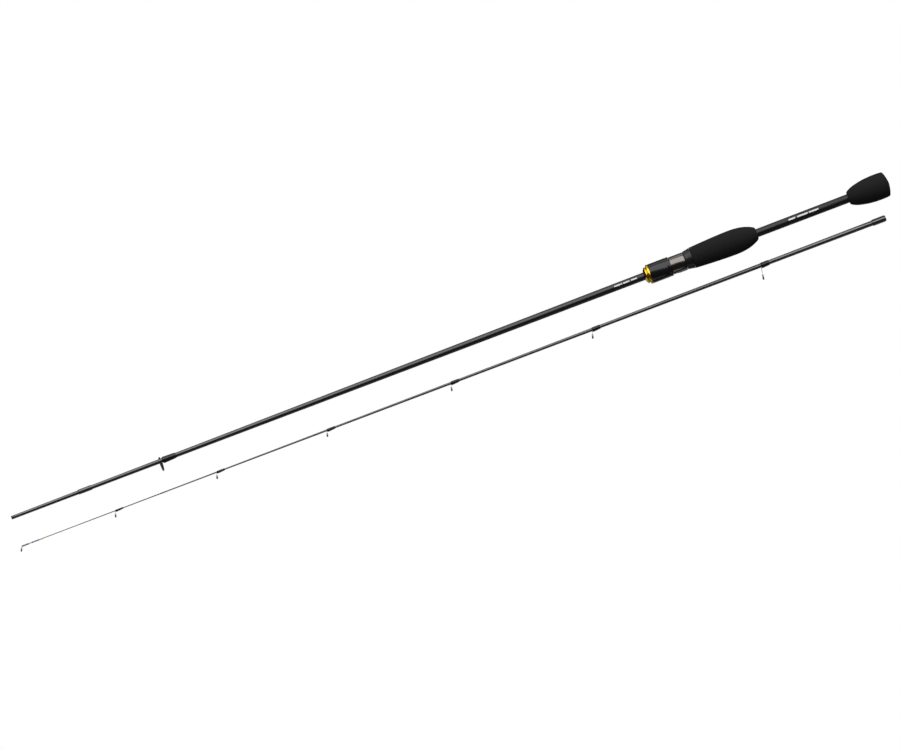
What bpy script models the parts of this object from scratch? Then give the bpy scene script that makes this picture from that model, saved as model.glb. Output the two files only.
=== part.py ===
"""Two-piece ultralight spinning rod, laid down in its two sections.

Each section is built along its own X axis, from the tip side (x = 0) towards
the butt, with its line guides pointing to -Z. An empty then lays each section
down: the butt section on its knob and its stripper guide, the tip section on
its ferrule wrap and its tip-top, with its guides turned sideways.

Design values are millimetres. MM turns them into metres when a mesh is made.
"""
import math

import bmesh
import bpy
from mathutils import Matrix, Vector

MM = 0.001

# Section lengths, and where the tip section lies beside the butt section.
BUTT_LENGTH = 1038.0
TIP_LENGTH = 1024.0
SECTION_SPACING = 33.4
TIP_LEAD = 2.9
TIP_YAW = math.radians(0.09)
GUIDE_ROLL = math.radians(-10.8)
TIP_ROLL = math.radians(-90.0)

# Outer radius of each blank along its section, as (x, radius).
BUTT_TAPER = ((0.0, 2.0), (460.0, 3.55), (700.0, 4.27), (BUTT_LENGTH, 5.05))
TIP_TAPER = ((0.0, 0.42), (150.0, 0.6), (590.0, 1.68), (830.0, 2.35), (TIP_LENGTH, 3.03))
BUTT_WALL = 0.85
TIP_WALL = 0.6
MALE_DEPTH = 79.0
SPLICE_X = 165.0

# Places along the handle, measured forward from the butt end.
KNOB_FRONT = 48.1
BLANK_END = 10.5
GRIP_REAR = 156.3
FIXED_HOOD_MOUTH = 201.4
GRIP_FRONT = 232.5
COLLAR_FRONT = 241.2
HOOD_REAR = 241.5
HOOD_FRONT = 258.0
NUT_REAR = 258.3
NUT_FRONT = 282.2
BARREL_FRONT = 279.5
TRIM_FRONT = 289.4

# Reel seat.
PLATFORM_DEPTH = 6.6
BARREL_FLAT_DEPTH = 6.5
POCKET_FLOOR_DEPTH = 6.4
FOOT_HALF_WIDTH = 8.3
POCKET_DEPTH = 11.1
FIXED_HOOD_REAR = 189.5
FIXED_HOOD_RADIUS = 12.35
FIXED_POCKET_RADIUS = 11.4
HOOD_RADIUS = 9.95
HOOD_BULGE = 2.1
NUT_RADIUS = 10.95
SEAT_BORE = 5.4

# Thread between the barrel and the locking nut: 2.8 mm of travel a turn.
PITCH = 2.8
THREAD_CREST = 7.6
THREAD_ROOT = 6.9
THREAD_CLEARANCE = 0.3
THREAD_STEPS = 18

# Clearances: between glued or bound pieces, and between touching shells.
BOND_GAP = 0.1
SHELL_GAP = 0.3

# Line guides of the tip section: ring x, ring centre height, collar radius, lean.
TIP_GUIDES = (
    (111.0, 5.1, 2.1, 16.0),
    (231.0, 5.3, 2.1, 16.0),
    (361.5, 5.1, 2.1, 16.0),
    (508.0, 6.4, 2.4, 12.0),
    (674.5, 7.4, 2.6, 16.0),
    (874.0, 13.1, 2.95, 10.0),
)
STRIPPER = (176.0, 19.0, 8.0, 6.0)

COLORS = {
    "carbon": ((0.020, 0.020, 0.022), 0.28, 0.0),
    "eva": ((0.014, 0.014, 0.016), 0.92, 0.0),
    "seat_plastic": ((0.025, 0.025, 0.028), 0.45, 0.0),
    "nut_plastic": ((0.020, 0.020, 0.023), 0.38, 0.0),
    "hood_metal": ((0.42, 0.38, 0.35), 0.34, 1.0),
    "gold": ((0.86, 0.62, 0.16), 0.22, 1.0),
    "guide_metal": ((0.16, 0.16, 0.17), 0.3, 1.0),
    "guide_ceramic": ((0.03, 0.03, 0.035), 0.15, 0.0),
    "thread": ((0.010, 0.010, 0.011), 0.12, 0.0),
    "arbor": ((0.45, 0.42, 0.36), 0.9, 0.0),
    "band_dark": ((0.08, 0.08, 0.09), 0.3, 0.0),
    "band_blue": ((0.34, 0.37, 0.50), 0.3, 0.0),
    "band_yellow": ((0.86, 0.88, 0.52), 0.3, 0.0),
}


def clear_scene():
    for obj in list(bpy.data.objects):
        bpy.data.objects.remove(obj, do_unlink=True)


def make_materials():
    made = {}
    for name, (color, roughness, metallic) in COLORS.items():
        mat = bpy.data.materials.new(name)
        mat.use_nodes = True
        shader = mat.node_tree.nodes["Principled BSDF"]
        shader.inputs["Base Color"].default_value = (*color, 1.0)
        shader.inputs["Roughness"].default_value = roughness
        shader.inputs["Metallic"].default_value = metallic
        made[name] = mat
    return made


def along(taper, x):
    """Radius at x on a taper given as (x, radius) points."""
    for (x0, r0), (x1, r1) in zip(taper, taper[1:]):
        if x <= x1:
            return r0 + (r1 - r0) * (x - x0) / (x1 - x0)
    return taper[-1][1]


def circle(x, radius, sides, drop=0.0):
    """Loop of points round the X axis, its centre dropped towards -Z."""
    turns = [2 * math.pi * k / sides for k in range(sides)]
    return [(x, radius * math.sin(a), radius * math.cos(a) - drop) for a in turns]


def skin(loops, closed):
    """Mesh through loops of equal length: a closed ring of loops, or one capped at both ends."""
    bm = bmesh.new()
    rows = [[bm.verts.new(Vector(p) * MM) for p in loop] for loop in loops]
    pairs = list(zip(rows, rows[1:]))
    if closed:
        pairs.append((rows[-1], rows[0]))
    else:
        bm.faces.new(rows[0])
        bm.faces.new(rows[-1])
    for first, second in pairs:
        count = len(first)
        for k in range(count):
            n = (k + 1) % count
            bm.faces.new((first[k], first[n], second[n], second[k]))
    bmesh.ops.recalc_face_normals(bm, faces=bm.faces)
    return bm


def turned(profile, sides, closed=True):
    """Body of revolution about X from (x, radius) points."""
    return skin([circle(x, radius, sides) for x, radius in profile], closed)


def handle_profile(points):
    """Profile given forward from the butt end, turned into section x."""
    return [(BUTT_LENGTH - back, radius) for back, radius in points]


def plate(outline, holes, thickness):
    """Flat plate in the YZ plane with holes, its thickness along X."""
    flat = bmesh.new()
    rings = []
    for ring in (outline, *holes):
        verts = [flat.verts.new((0.0, y * MM, z * MM)) for y, z in ring]
        rings.append(verts)
        for a, b in zip(verts, verts[1:] + verts[:1]):
            flat.edges.new((a, b))
    bmesh.ops.triangle_fill(flat, use_beauty=True, use_dissolve=False, edges=flat.edges[:])
    flat.verts.index_update()
    triangles = [[v.index for v in face.verts] for face in flat.faces]
    loops = [[v.index for v in ring] for ring in rings]
    points = [v.co.copy() for v in flat.verts]
    flat.free()

    bm = bmesh.new()
    half = Vector((thickness * MM / 2, 0.0, 0.0))
    front = [bm.verts.new(p - half) for p in points]
    back = [bm.verts.new(p + half) for p in points]
    for tri in triangles:
        bm.faces.new([front[i] for i in tri])
        bm.faces.new([back[i] for i in reversed(tri)])
    for loop in loops:
        for a, b in zip(loop, loop[1:] + loop[:1]):
            bm.faces.new((front[a], front[b], back[b], back[a]))
    bmesh.ops.recalc_face_normals(bm, faces=bm.faces)
    return bm


def prism(outline, half_width):
    """Body with an outline in the XZ plane, as wide as half_width each way along Y."""
    return skin([[(x, y, z) for x, z in outline] for y in (-half_width, half_width)], False)


def block(low, high):
    """Rectangular body between two corners."""
    outline = ((low[0], low[2]), (high[0], low[2]), (high[0], high[2]), (low[0], high[2]))
    return skin([[(x, y, z) for x, z in outline] for y in (low[1], high[1])], False)


def arched_block(x0, x1, radius, depth):
    """Body flat at -depth and arched below it, round the X axis."""
    side = math.acos(depth / radius)
    turns = [side - 2 * side * k / 12 for k in range(13)]
    section = [(radius * math.sin(a), -radius * math.cos(a)) for a in turns]
    return skin([[(x, y, z) for y, z in section] for x in (x0, x1)], False)


def screw_rod(x0, x1, root, crest, spread):
    """Round rod with a right-hand trapezoidal thread, trimmed flat at x0 and x1.

    spread widens the ridge on both flanks, for the cutter of the nut's thread."""
    ridge = (
        (0.10 * PITCH - spread, root),
        (0.28 * PITCH - spread, crest),
        (0.50 * PITCH + spread, crest),
        (0.68 * PITCH + spread, root),
    )
    steps = THREAD_STEPS
    turns = math.ceil((x1 - x0) / PITCH) + 2
    last = turns * steps
    start = (math.floor(x0 / PITCH) - 1) * PITCH
    bm = bmesh.new()
    grid = {}

    def vertex(step, point):
        offset, radius = ridge[point]
        angle = 2 * math.pi * step / steps
        x = start + PITCH * step / steps + offset
        place = Vector((x, radius * math.cos(angle), radius * math.sin(angle)))
        grid[step, point] = bm.verts.new(place * MM)

    for step in range(last + 1):
        for point in range(4):
            vertex(step, point)
    for step in range(last + 1, last + steps + 1):
        vertex(step, 0)

    def corner(step, point):
        return grid[step + steps, 0] if point == 4 else grid[step, point]

    for step in range(last):
        for point in range(4):
            bm.faces.new((
                corner(step, point),
                corner(step + 1, point),
                corner(step + 1, point + 1),
                corner(step, point + 1),
            ))
    for first in (0, last):
        rim = [grid[first + k, 0] for k in range(steps + 1)]
        rim += [grid[first, 3], grid[first, 2], grid[first, 1]]
        hub = bm.verts.new(Vector((rim[0].co.x + PITCH * MM / 2, 0.0, 0.0)))
        for a, b in zip(rim, rim[1:] + rim[:1]):
            bm.faces.new((hub, a, b))

    for place, normal in ((x0, -1.0), (x1, 1.0)):
        cut = bmesh.ops.bisect_plane(
            bm,
            geom=bm.verts[:] + bm.edges[:] + bm.faces[:],
            dist=1e-8,
            plane_co=(place * MM, 0.0, 0.0),
            plane_no=(normal, 0.0, 0.0),
            clear_outer=True,
        )
        edges = [e for e in cut["geom_cut"] if isinstance(e, bmesh.types.BMEdge)]
        bmesh.ops.edgeloop_fill(bm, edges=edges)
    bmesh.ops.recalc_face_normals(bm, faces=bm.faces)
    return bm


def add_part(name, bm, material, parent):
    mesh = bpy.data.meshes.new(name)
    bm.to_mesh(mesh)
    bm.free()
    mesh.materials.append(material)
    mesh.shade_smooth()
    mesh.set_sharp_from_angle(angle=math.radians(32))
    obj = bpy.data.objects.new(name, mesh)
    obj.parent = parent
    bpy.context.scene.collection.objects.link(obj)
    return obj


def combine(obj, bm, operation, label):
    """Boolean of obj with a helper body that the finished model leaves out."""
    helper = add_part(f"{obj.name}_{label}", bm, obj.data.materials[0], obj.parent)
    helper.hide_render = True
    helper.display_type = "WIRE"
    modifier = obj.modifiers.new(label, "BOOLEAN")
    modifier.operation = operation
    modifier.solver = "EXACT"
    modifier.object = helper


def add_section(name):
    empty = bpy.data.objects.new(name, None)
    bpy.context.scene.collection.objects.link(empty)
    return empty


# Blanks and bindings

def tube_profile(stations, outer, inner):
    """Closed profile of a tube: along its outside, then back along its bore."""
    return [(x, outer(x)) for x in stations] + [(x, inner(x)) for x in reversed(stations)]


def add_butt_blank(mats, parent):
    def bore(x):
        return along(BUTT_TAPER, x) - BUTT_WALL

    stations = (0.0, 120.0, 300.0, 460.0, 700.0, 880.0, BUTT_LENGTH - BLANK_END)
    profile = tube_profile(stations, lambda x: along(BUTT_TAPER, x), bore)
    add_part("butt_blank", turned(profile, 24), mats["carbon"], parent)


def add_tip_blank(mats, parent):
    """Hollow blank with the female ferrule's socket at its butt end."""
    end = TIP_LENGTH
    socket = end - MALE_DEPTH - 3.0
    front = SPLICE_X + SHELL_GAP
    outer = [(x, along(TIP_TAPER, x)) for x in (front, 330.0, 590.0, 830.0, end)]
    outer[0] = (front, 0.72)
    inner = [
        (end, 2.38),
        (socket, 2.12),
        (socket - 1.0, 1.95),
        (830.0, along(TIP_TAPER, 830.0) - TIP_WALL),
        (330.0, 0.62),
        (front, 0.5),
    ]
    add_part("tip_blank", turned(outer + inner, 24), mats["carbon"], parent)


def add_solid_tip(mats, parent):
    """Solid carbon tip, spliced into the front of the hollow blank."""
    profile = (
        (4.6, 0.42),
        (150.0, 0.60),
        (SPLICE_X, 0.64),
        (SPLICE_X + 0.05, 0.40),
        (SPLICE_X + 26.0, 0.38),
    )
    add_part("solid_tip", turned(profile, 12, closed=False), mats["carbon"], parent)


def add_band(name, x0, x1, taper, height, material, parent, sides=24):
    """Thread binding round a blank, rounded down at both ends."""
    ends = 0.12 * (x1 - x0)
    outer = [
        (x0, along(taper, x0) + BOND_GAP + 0.08),
        (x0 + ends, along(taper, x0) + height),
        (x1 - ends, along(taper, x1) + height),
        (x1, along(taper, x1) + BOND_GAP + 0.08),
    ]
    inner = [(x1, along(taper, x1) + BOND_GAP), (x0, along(taper, x0) + BOND_GAP)]
    add_part(name, turned(outer + inner, sides), material, parent)


# Line guides

def teardrop(half_root, root, centre, radius, steps):
    """Outline tangent to a ring: from the leg's root at -root to round the ring at -centre."""
    reach = math.hypot(half_root, centre - root)
    start = math.atan2(centre - root, half_root) - math.acos(radius / reach)
    arc = [start + (-math.pi - 2 * start) * k / steps for k in range(steps + 1)]
    points = [(radius * math.cos(a), -centre + radius * math.sin(a)) for a in arc]
    return [(half_root, -root)] + points + [(-half_root, -root)]


def ring_outline(centre, radius, sides):
    turns = [2 * math.pi * k / sides for k in range(sides)]
    return [(radius * math.cos(a), -centre + radius * math.sin(a)) for a in turns]


def add_guide(name, spec, taper, foot_length, sides, mats, parent):
    """Single-foot guide: leaning frame with a drawn collar, ceramic ring, and foot under a wrap."""
    ring_x, height, collar, lean_degrees = spec
    lean = math.radians(lean_degrees)
    axis_x = ring_x + height * math.tan(lean)
    centre = height / math.cos(lean)
    large = collar > 5
    sheet = 0.7 if large else 0.55
    band = 1.0 if large else 0.42
    depth = 1.6 if large else 1.5
    hole = collar - band
    half_root = 1.4 if large else 0.75
    foot_width = 1.5 if large else 0.8
    foot_root = 1.2 if large else 0.7
    foot_end = 0.5 if large else 0.25
    foot_x1 = axis_x + foot_length
    seat = along(taper, foot_x1 + 2) + BOND_GAP
    root = seat / math.cos(lean) + 0.1
    leaning = Matrix.Translation((axis_x * MM, 0.0, 0.0)) @ Matrix.Rotation(lean, 4, "Y")

    inside = hole + band / 2
    outline = teardrop(half_root, root, centre, collar - 0.12, 14)
    top = centre - collar - 0.3
    strut = 1.3 if large else 0.55
    apex = root + foot_root + (1.6 if large else 0.5)
    spread = half_root + (collar - half_root) * (top - root) / (centre - root) - strut
    window = ((0.0, -apex), (spread, -top), (-spread, -top))
    frame_mesh = plate(outline, (ring_outline(centre, inside, sides), window), sheet)
    frame_mesh.transform(leaning)
    frame = add_part(f"{name}_frame", frame_mesh, mats["guide_metal"], parent)

    chamfer = band * 0.3
    collar_profile = (
        (-depth / 2, hole),
        (-depth / 2, collar - chamfer),
        (-depth / 2 + chamfer, collar),
        (depth / 2 - chamfer, collar),
        (depth / 2, collar - chamfer),
        (depth / 2, hole),
    )
    onto_ring = leaning @ Matrix.Translation((0.0, 0.0, -centre * MM))
    collar_mesh = turned(collar_profile, sides)
    collar_mesh.transform(onto_ring)
    combine(frame, collar_mesh, "UNION", "collar")

    foot_x0 = axis_x - root * math.sin(lean) - sheet / 2 - 0.1
    foot = (
        (foot_x0, -seat),
        (foot_x1, -seat),
        (foot_x1, -seat - foot_end),
        (foot_x0, -seat - foot_root),
    )
    combine(frame, prism(foot, foot_width), "UNION", "foot")

    outer = hole - 0.08
    lip = 0.16 * (outer if not large else 3.2)
    wall = 1.15 if large else 0.5
    inner = outer - wall
    reach = depth / 2 + (0.2 if large else 0.15)
    ring_profile = (
        (-reach, outer - lip),
        (-reach + lip, outer),
        (reach - lip, outer),
        (reach, outer - lip),
        (reach * 0.45, inner),
        (-reach * 0.45, inner),
    )
    ring_mesh = turned(ring_profile, sides)
    ring_mesh.transform(onto_ring)
    add_part(f"{name}_ring", ring_mesh, mats["guide_ceramic"], parent)

    wrap_x0 = foot_x0 + sheet + 0.45
    wrap_x1 = foot_x1 + 1.6
    cover = 0.42 if large else 0.32
    length = wrap_x1 - wrap_x0
    loops = []
    for share, rise, bulge in (
        (0.0, 0.35, 0.6),
        (0.05, 0.8, 0.95),
        (0.14, 1.0, 1.0),
        (0.75, 0.95, 0.6),
        (0.93, 0.75, 0.3),
        (1.0, 0.3, 0.0),
    ):
        x = wrap_x0 + share * length
        thick = foot_root * bulge / 2
        radius = along(taper, x) + BOND_GAP + cover * rise + thick
        loops.append(circle(x, radius, 16, drop=thick))
    for x in (wrap_x1, wrap_x0):
        loops.append(circle(x, along(taper, x) + BOND_GAP * 0.7, 16))
    wrap = add_part(f"{name}_wrap", skin(loops, True), mats["thread"], parent)
    slot = (
        (foot_x0 - 1.0, -seat + 0.5),
        (foot_x1 + 0.12, -seat + 0.5),
        (foot_x1 + 0.12, -seat - foot_end - 0.12),
        (foot_x0 - 1.0, -seat - foot_root - 0.14),
    )
    combine(wrap, prism(slot, foot_width + 0.12), "DIFFERENCE", "foot_slot")


def add_tip_top(mats, parent):
    """Tube glued over the solid tip, with a leaning ring."""
    lean = math.radians(30.0)
    ring_x = 0.3
    height = 3.4
    collar = 2.25
    hole = 1.8
    centre = height / math.cos(lean)
    axis_x = ring_x + height * math.tan(lean)
    leaning = Matrix.Translation((axis_x * MM, 0.0, 0.0)) @ Matrix.Rotation(lean, 4, "Y")
    onto_ring = leaning @ Matrix.Translation((0.0, 0.0, -centre * MM))

    outline = teardrop(0.6, 0.3, centre, collar - 0.12, 14)
    frame_mesh = plate(outline, (ring_outline(centre, (hole + collar) / 2, 16),), 0.6)
    frame_mesh.transform(leaning)
    frame = add_part("tip_top_frame", frame_mesh, mats["guide_metal"], parent)

    collar_mesh = turned(((-0.7, hole), (-0.7, collar), (0.7, collar), (0.7, hole)), 16)
    collar_mesh.transform(onto_ring)
    combine(frame, collar_mesh, "UNION", "collar")
    tube = ((1.7, 0.15), (1.9, 0.45), (2.3, 0.7), (2.9, 0.85), (10.4, 0.85))
    combine(frame, turned(tube, 16, closed=False), "UNION", "tube")
    bore = turned(((4.5, 0.56), (11.5, 0.56)), 12, closed=False)
    combine(frame, bore, "DIFFERENCE", "bore")

    ring_mesh = turned(
        ((-0.85, 1.45), (-0.6, 1.72), (0.6, 1.72), (0.85, 1.45), (0.35, 1.2), (-0.35, 1.2)), 16
    )
    ring_mesh.transform(onto_ring)
    add_part("tip_top_ring", ring_mesh, mats["guide_ceramic"], parent)


# Handle

def grip_radius_points():
    """Outside of the palm swell, as (distance from the butt end, radius), front to rear."""
    return [
        (GRIP_FRONT, 11.9),
        (225.0, 12.4),
        (213.0, 13.1),
        (200.0, 13.7),
        (190.0, 14.0),
        (182.0, 13.95),
        (176.5, 13.5),
        (171.5, 12.8),
        (166.5, 11.5),
        (161.5, 9.6),
        (158.2, 7.9),
        (156.9, 7.0),
    ]


def add_palm_grip(mats, parent):
    """Foam sleeve over the seat, cut open below the platform and round the fixed hood."""
    outer = grip_radius_points() + [(GRIP_REAR, 6.2)]
    inner = [
        (GRIP_REAR, 5.0),
        (159.4, 5.0),
        (159.4, 7.0),
        (165.0, 8.0),
        (178.0, 10.4),
        (190.0, 11.0),
        (213.0, 10.1),
        (GRIP_FRONT, 8.9),
    ]
    mesh = turned(handle_profile(outer + inner), 32)
    grip = add_part("palm_grip", mesh, mats["eva"], parent)
    open_front = block(
        (BUTT_LENGTH - GRIP_FRONT - 1, -20, -20),
        (BUTT_LENGTH - FIXED_HOOD_MOUTH, 20, -PLATFORM_DEPTH - 0.02),
    )
    combine(grip, open_front, "DIFFERENCE", "platform")
    pocket = arched_block(
        BUTT_LENGTH - FIXED_HOOD_MOUTH - 2,
        BUTT_LENGTH - FIXED_HOOD_REAR + SHELL_GAP,
        FIXED_HOOD_RADIUS + SHELL_GAP,
        PLATFORM_DEPTH + 0.02,
    )
    combine(grip, pocket, "DIFFERENCE", "pocket")


def add_seat_body(mats, parent):
    """Moulded reel seat: threaded barrel, collar, and core under the palm grip.

    Its lower side is flat at three levels: the barrel's keyway, the platform for the reel
    foot, and the floor of the fixed hood's pocket."""
    core = [
        (BARREL_FRONT, 6.6),
        (244.6, 6.6),
        (242.6, 7.4),
        (COLLAR_FRONT, 7.4),
        (COLLAR_FRONT, 10.1),
        (COLLAR_FRONT - 0.6, 10.4),
        (GRIP_FRONT + SHELL_GAP, 11.7),
        (GRIP_FRONT + SHELL_GAP, 8.6),
        (213.0, 9.8),
        (190.0, 10.7),
        (178.0, 10.1),
        (165.0, 7.7),
        (159.8, 6.7),
        (159.8, SEAT_BORE),
        (BARREL_FRONT, SEAT_BORE),
    ]
    body = add_part("reel_seat_body", turned(handle_profile(core), 32), mats["seat_plastic"], parent)
    thread = screw_rod(
        BUTT_LENGTH - BARREL_FRONT, BUTT_LENGTH - 249.0, THREAD_ROOT, THREAD_CREST, 0.0
    )
    combine(body, thread, "UNION", "thread")
    bore = turned(((BUTT_LENGTH - 290, SEAT_BORE), (BUTT_LENGTH - 240, SEAT_BORE)), 32, closed=False)
    combine(body, bore, "DIFFERENCE", "bore")
    levels = (
        (BARREL_FRONT + 2, COLLAR_FRONT - 0.3, BARREL_FLAT_DEPTH),
        (COLLAR_FRONT - 0.3, FIXED_HOOD_MOUTH + 0.1, PLATFORM_DEPTH),
        (FIXED_HOOD_MOUTH + 0.1, FIXED_HOOD_REAR - 0.5, POCKET_FLOOR_DEPTH),
    )
    for number, (front, rear, depth) in enumerate(levels, 1):
        cut = block((BUTT_LENGTH - front, -20, -20), (BUTT_LENGTH - rear, 20, -depth))
        combine(body, cut, "DIFFERENCE", f"flat_{number}")


def add_fixed_hood(mats, parent):
    """Pocket for the rear toe of the reel foot, let into the palm swell."""
    x0 = BUTT_LENGTH - FIXED_HOOD_MOUTH + 0.2
    x1 = BUTT_LENGTH - FIXED_HOOD_REAR
    shell = arched_block(x0, x1, FIXED_HOOD_RADIUS, PLATFORM_DEPTH + SHELL_GAP)
    hood = add_part("fixed_hood", shell, mats["seat_plastic"], parent)
    mouth = arched_block(x0 - 1, x1 - 1.2, FIXED_POCKET_RADIUS, PLATFORM_DEPTH - 1)
    combine(hood, mouth, "DIFFERENCE", "mouth")


def add_arbors(mats, parent):
    """Bushes that centre the blank in the seat's bore."""
    for number, (front, rear) in enumerate(((274.0, 252.0), (232.0, 214.0), (184.0, 166.0)), 1):
        blank = along(BUTT_TAPER, BUTT_LENGTH - rear)
        profile = ((front, SEAT_BORE - 0.15), (rear, SEAT_BORE - 0.15), (rear, blank + 0.12),
                   (front, blank + 0.12))
        mesh = turned(handle_profile(profile), 24)
        add_part(f"seat_arbor_{number}", mesh, mats["arbor"], parent)


def add_knob(mats, parent):
    """Butt knob: a bullet flare with a domed end, bored for the blank."""
    profile = (
        (BLANK_END - 1.0, 5.2),
        (KNOB_FRONT, 5.2),
        (KNOB_FRONT, 6.6),
        (47.2, 7.6),
        (45.0, 9.0),
        (41.0, 10.7),
        (36.0, 12.1),
        (30.0, 13.3),
        (24.0, 14.1),
        (17.5, 14.55),
        (11.0, 14.6),
        (5.4, 14.25),
        (3.6, 13.6),
        (2.6, 12.2),
        (1.0, 7.0),
        (0.0, 1.5),
    )
    mesh = turned(handle_profile(profile), 32, closed=False)
    add_part("butt_knob", mesh, mats["eva"], parent)


def hood_loop(x, radius, bulge, weight, count=32):
    """Round loop whose lower half swells and squares off over the reel foot."""
    points = []
    for k in range(count):
        a = 2 * math.pi * k / count
        y = math.sin(a)
        z = math.cos(a)
        if z < 0:
            power = 1 - 0.36 * weight
            y = math.copysign(abs(y) ** power, y)
            z = -abs(z) ** power * (1 + bulge * weight / radius)
        points.append((x, radius * y, radius * z))
    return points


def add_moving_hood(mats, parent):
    """Sliding hood: a metal shell over a keyed plastic liner."""
    front = BUTT_LENGTH - HOOD_FRONT
    rear = BUTT_LENGTH - HOOD_REAR
    shell_loops = [
        hood_loop(front, 8.8, HOOD_BULGE, 0.0),
        hood_loop(front, HOOD_RADIUS - 0.2, HOOD_BULGE, 0.0),
        hood_loop(front + 0.3, HOOD_RADIUS, HOOD_BULGE, 0.0),
        hood_loop(front + 3.0, HOOD_RADIUS, HOOD_BULGE, 0.1),
        hood_loop(front + 7.0, HOOD_RADIUS, HOOD_BULGE, 1.0),
        hood_loop(rear, HOOD_RADIUS, HOOD_BULGE, 1.0),
        hood_loop(rear, HOOD_RADIUS - 0.6, HOOD_BULGE, 1.0),
        hood_loop(front + 7.0, HOOD_RADIUS - 0.6, HOOD_BULGE, 1.0),
        hood_loop(front + 3.0, HOOD_RADIUS - 0.6, HOOD_BULGE, 0.1),
        hood_loop(front + 0.7, HOOD_RADIUS - 0.6, HOOD_BULGE, 0.0),
        hood_loop(front + 0.7, 8.8, HOOD_BULGE, 0.0),
    ]
    add_part("hood_shell", skin(shell_loops, True), mats["hood_metal"], parent)

    skin_radius = HOOD_RADIUS - 0.6 - 0.12
    liner_loops = [
        hood_loop(front + 3.0, skin_radius, HOOD_BULGE, 0.1),
        hood_loop(front + 7.0, skin_radius, HOOD_BULGE, 1.0),
        hood_loop(rear - 0.1, skin_radius, HOOD_BULGE, 1.0),
    ]
    liner = add_part("hood_liner", skin(liner_loops, False), mats["seat_plastic"], parent)
    key = THREAD_CREST + 0.32
    section = circle(front - 5, key, 32)
    flat = -BARREL_FLAT_DEPTH - SHELL_GAP
    section = [(x, y, max(z, flat)) for x, y, z in section]
    bore = skin([section, [(rear + 5, y, z) for x, y, z in section]], False)
    combine(liner, bore, "DIFFERENCE", "bore")
    pocket = block((rear - 10.2, -FOOT_HALF_WIDTH + 0.4, -POCKET_DEPTH + 0.3),
                   (rear + 2, FOOT_HALF_WIDTH - 0.4, flat + 1.0))
    combine(liner, pocket, "DIFFERENCE", "pocket")


def add_locking_nut(mats, parent):
    """Nut with an internal thread, its rear flange held behind the hood's front lip."""
    profile = (
        (NUT_FRONT, 8.3),
        (NUT_FRONT, NUT_RADIUS - 0.5),
        (NUT_FRONT - 0.5, NUT_RADIUS),
        (NUT_REAR + 0.6, NUT_RADIUS),
        (NUT_REAR, NUT_RADIUS - 0.6),
        (NUT_REAR, 8.5),
        (257.0, 8.5),
        (257.0, 9.05),
        (255.9, 9.05),
        (255.9, 6.8),
        (272.0, 6.8),
        (272.4, 8.3),
    )
    nut = add_part("locking_nut", turned(handle_profile(profile), 32), mats["nut_plastic"], parent)
    thread = screw_rod(
        BUTT_LENGTH - 276.0, BUTT_LENGTH - 254.0, THREAD_ROOT + THREAD_CLEARANCE,
        THREAD_CREST + THREAD_CLEARANCE, 0.22,
    )
    combine(nut, thread, "DIFFERENCE", "thread")


def add_trim_ring(mats, parent):
    """Gold-coloured double ring that closes the front of the nut."""
    profile = (
        (280.6, 8.1),
        (NUT_FRONT + 0.2, 8.1),
        (NUT_FRONT + 0.2, 10.6),
        (NUT_FRONT + 0.6, 11.0),
        (284.3, 11.0),
        (284.8, 10.6),
        (285.1, 8.5),
        (285.6, 8.5),
        (285.9, 9.0),
        (286.6, 9.25),
        (287.4, 9.0),
        (288.6, 7.2),
        (TRIM_FRONT, 5.4),
        (TRIM_FRONT, 4.75),
        (280.6, 4.85),
    )
    add_part("nut_trim_ring", turned(handle_profile(profile), 32), mats["gold"], parent)


# Laying the sections down

def lay_sections(butt, tip):
    """Rest each section on its two lowest places, centred over the origin."""
    knob_x = BUTT_LENGTH - 14.0
    stripper_x, height, collar, _lean = STRIPPER
    ring_low = height * math.cos(GUIDE_ROLL) + collar
    butt_pitch = math.atan2(ring_low - 14.6, knob_x - stripper_x)
    tip_pitch = -math.atan2(3.65 - 2.25, TIP_LENGTH - 12.0)
    butt.matrix_world = Matrix.Rotation(butt_pitch, 4, "Y") @ Matrix.Rotation(GUIDE_ROLL, 4, "X")
    beside = Matrix.Translation((-TIP_LEAD * MM, -SECTION_SPACING * MM, 0.0))
    turn = Matrix.Rotation(-TIP_YAW, 4, "Z") @ Matrix.Rotation(tip_pitch, 4, "Y")
    tip.matrix_world = beside @ turn @ Matrix.Rotation(TIP_ROLL, 4, "X")
    for section in (butt, tip):
        low, _high = section_box(section)
        section.matrix_world = Matrix.Translation((0.0, 0.0, -low.z)) @ section.matrix_world
    boxes = [section_box(section) for section in (butt, tip)]
    low = Vector([min(box[0][i] for box in boxes) for i in range(3)])
    high = Vector([max(box[1][i] for box in boxes) for i in range(3)])
    centre = Vector(((low.x + high.x) / 2, (low.y + high.y) / 2, 0.0))
    for section in (butt, tip):
        section.matrix_world = Matrix.Translation(-centre) @ section.matrix_world


def section_box(section):
    """Lowest and highest corners of the finished bodies of a section."""
    bpy.context.view_layer.update()
    graph = bpy.context.evaluated_depsgraph_get()
    points = []
    for obj in section.children:
        if obj.hide_render:
            continue
        evaluated = obj.evaluated_get(graph)
        mesh = evaluated.to_mesh()
        points += [evaluated.matrix_world @ v.co for v in mesh.vertices]
        evaluated.to_mesh_clear()
    low = Vector([min(p[i] for p in points) for i in range(3)])
    high = Vector([max(p[i] for p in points) for i in range(3)])
    return low, high


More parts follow.
